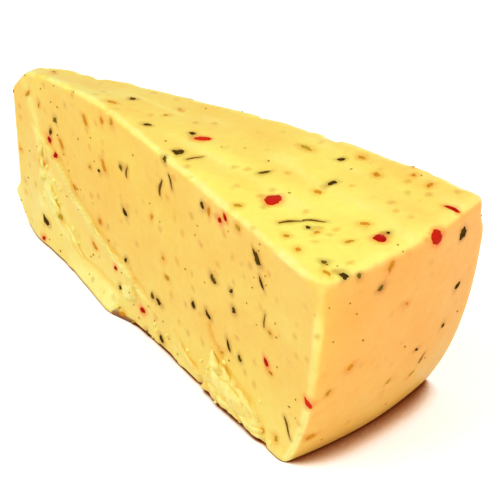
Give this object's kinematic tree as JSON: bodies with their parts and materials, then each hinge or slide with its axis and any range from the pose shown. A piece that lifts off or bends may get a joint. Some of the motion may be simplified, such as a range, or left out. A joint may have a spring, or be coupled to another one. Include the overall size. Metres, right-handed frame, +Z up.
{
  "type": "herb cheese wedge",
  "caption": "Wedge of semi-hard herb and pepper cheese, cut from the lower half of a wheel, with two knife-cut sides and a curved rind.",
  "frame": {"origin": "bottom centre of the wedge's box, on the surface that it stands on", "axes": "+Z up, -X to the tip, +X to the rind, -Y to the near cut face"},
  "size_m": [0.1524, 0.0546, 0.06],
  "materials": {
    "cheese": "moist, slightly waxy cut cheese with red pepper and herb flecks; the rind is smoother and deeper in colour"
  },
  "bodies": {
    "root": {"cheese_wedge": "cheese"}
  },
  "joints": []
}
